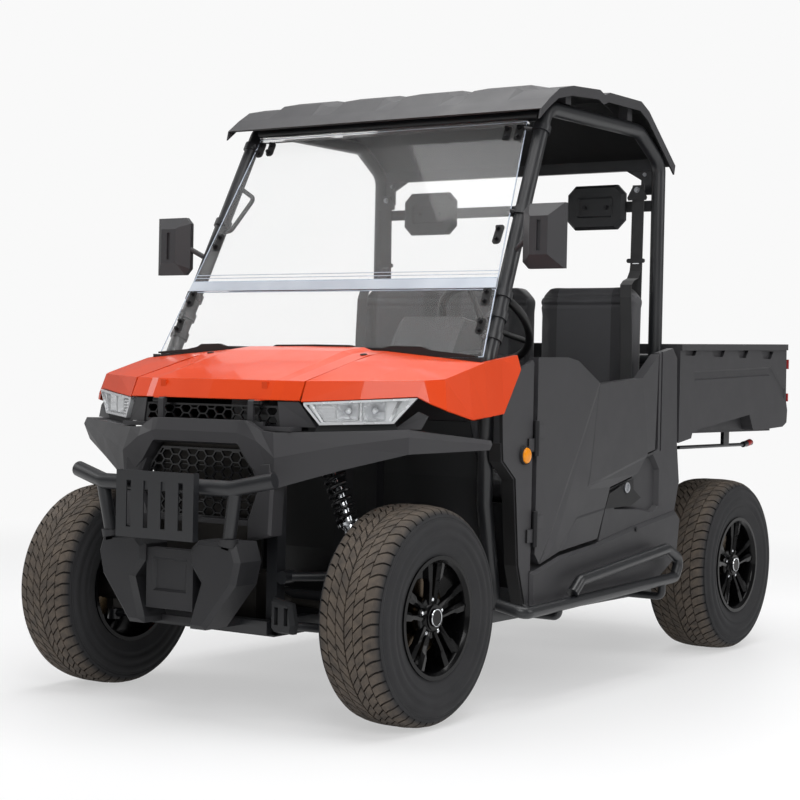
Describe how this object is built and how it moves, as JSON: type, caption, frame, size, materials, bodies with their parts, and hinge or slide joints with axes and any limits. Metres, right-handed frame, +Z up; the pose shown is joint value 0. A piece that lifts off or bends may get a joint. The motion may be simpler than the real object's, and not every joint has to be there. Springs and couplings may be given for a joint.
{
  "type": "side by side utility vehicle",
  "caption": "Open side by side utility vehicle with tube cage, roof, half doors, tilting cargo bed, drop tailgate, tilting bonnet and steered front wheels.",
  "frame": {"origin": "on the ground midway between the axles, at the centre of the footprint", "axes": "-Y to the front, +X to the vehicle's left, +Z up"},
  "size_m": [1.68, 3.079, 2.044],
  "materials": {
    "frame_steel": "satin black powder coat",
    "cast": "cast",
    "damper": "black spring on a bright damper body",
    "paint": "gloss orange",
    "panel": "fine grained charcoal",
    "tyre": "matte rubber, dusty tread",
    "rim": "gloss black",
    "screen": "clear",
    "rail": "satin",
    "lamp": "clear lens over bright bowls",
    "tail_lamp": "red lens",
    "indicator": "amber lens",
    "seat": "coated seat cloth",
    "belt": "woven webbing",
    "rubber": "matte"
  },
  "bodies": {
    "chassis": {"bed_rest_pads": "rubber", "bonnet_wings": "paint", "bumper_bar": "frame_steel", "cab_controls": "frame_steel", "cowl_side_panels": "panel", "cowl_trim": "panel", "dashboard": "panel", "floor_tub": "panel", "frame": "frame_steel", "front_deck": "frame_steel", "front_fascia": "panel", "front_guard": "panel", "grilles": "panel", "half_shafts": "frame_steel", "headlamps": "lamp", "headrests": "seat", "lamp_lenses": "screen", "mirrors": "panel", "plate_bracket": "frame_steel", "powertrain": "cast", "quarter_panels": "panel", "rack_housing": "frame_steel", "radiator": "cast", "rear_deck": "frame_steel", "rear_knuckles": "cast", "rocker_panels": "panel", "roll_cage": "frame_steel", "roof": "panel", "screen_clamps": "frame_steel", "seat_back": "seat", "seat_belts": "belt", "seat_cushion": "seat", "shock_absorbers": "damper", "side_indicators": "indicator", "skid_plates": "panel", "steering_column": "frame_steel", "step_bars": "frame_steel", "suspension_arms": "frame_steel", "tow_hitch": "frame_steel", "windscreen": "screen", "windscreen_rail": "rail"},
    "wheel_front_left": {"tyre_front_left": "tyre", "rim_front_left": "rim"},
    "wheel_front_right": {"tyre_front_right": "tyre", "rim_front_right": "rim"},
    "wheel_rear_left": {"tyre_rear_left": "tyre", "rim_rear_left": "rim"},
    "wheel_rear_right": {"tyre_rear_right": "tyre", "rim_rear_right": "rim"},
    "front_knuckle_left": {"knuckle_left": "cast"},
    "front_knuckle_right": {"knuckle_right": "cast"},
    "steering_rack": {"tie_rods": "frame_steel"},
    "driver_wheel": {"steering_wheel": "panel"},
    "left_door": {"door_left": "panel"},
    "right_door": {"door_right": "panel"},
    "front_bonnet": {"bonnet": "paint"},
    "bed": {"cargo_bed": "panel", "tail_lamps": "tail_lamp", "bed_lever": "frame_steel"},
    "rear_gate": {"tailgate": "panel"}
  },
  "joints": [
    {"name": "steer_left", "type": "hinge", "parent": "chassis", "child": "front_knuckle_left", "pos_m": [0.585, -1.065, 0.33], "axis": [0, 0, 1], "range_deg": [-28, 28]},
    {"name": "steer_right", "type": "hinge", "parent": "chassis", "child": "front_knuckle_right", "pos_m": [-0.585, -1.065, 0.33], "axis": [0, 0, 1], "range_deg": [-28, 28]},
    {"name": "rack_slide", "type": "slide", "parent": "chassis", "child": "steering_rack", "axis": [1, 0, 0], "range_m": [-0.037, 0.037]},
    {"name": "steering_wheel_turn", "type": "hinge", "parent": "chassis", "child": "driver_wheel", "pos_m": [0.36, -0.276, 1.224], "axis": [0, 0.7431, 0.6691], "range_deg": [-281, 281]},
    {"name": "spin_front_left", "type": "hinge", "parent": "front_knuckle_left", "child": "wheel_front_left", "pos_m": [0.6, -1.065, 0.33], "axis": [1, 0, 0], "continuous": true},
    {"name": "spin_rear_left", "type": "hinge", "parent": "chassis", "child": "wheel_rear_left", "pos_m": [0.6, 1.065, 0.33], "axis": [1, 0, 0], "continuous": true},
    {"name": "spin_front_right", "type": "hinge", "parent": "front_knuckle_right", "child": "wheel_front_right", "pos_m": [-0.6, -1.065, 0.33], "axis": [1, 0, 0], "continuous": true},
    {"name": "spin_rear_right", "type": "hinge", "parent": "chassis", "child": "wheel_rear_right", "pos_m": [-0.6, 1.065, 0.33], "axis": [1, 0, 0], "continuous": true},
    {"name": "door_left_swing", "type": "hinge", "parent": "chassis", "child": "left_door", "pos_m": [0.706, -0.512, 0.7], "axis": [0, 0, -1], "range_deg": [0, 70]},
    {"name": "door_right_swing", "type": "hinge", "parent": "chassis", "child": "right_door", "pos_m": [-0.706, -0.512, 0.7], "axis": [0, 0, 1], "range_deg": [0, 70]},
    {"name": "bonnet_tilt", "type": "hinge", "parent": "chassis", "child": "front_bonnet", "pos_m": [0, -1.3, 0.952], "axis": [1, 0, 0], "range_deg": [0, 60]},
    {"name": "bed_tilt", "type": "hinge", "parent": "chassis", "child": "bed", "pos_m": [0, 1.235, 0.785], "axis": [-1, 0, 0], "range_deg": [0, 40]},
    {"name": "tailgate_drop", "type": "hinge", "parent": "bed", "child": "rear_gate", "pos_m": [0, 1.541, 0.861], "axis": [-1, 0, 0], "range_deg": [0, 90]}
  ],
  "couplings": [
    {"joint": "steer_right", "follows": "steer_left", "ratio": 1},
    {"joint": "rack_slide", "follows": "steer_left", "m_per_rad": -0.075},
    {"joint": "steering_wheel_turn", "follows": "steer_left", "ratio": 10}
  ]
}
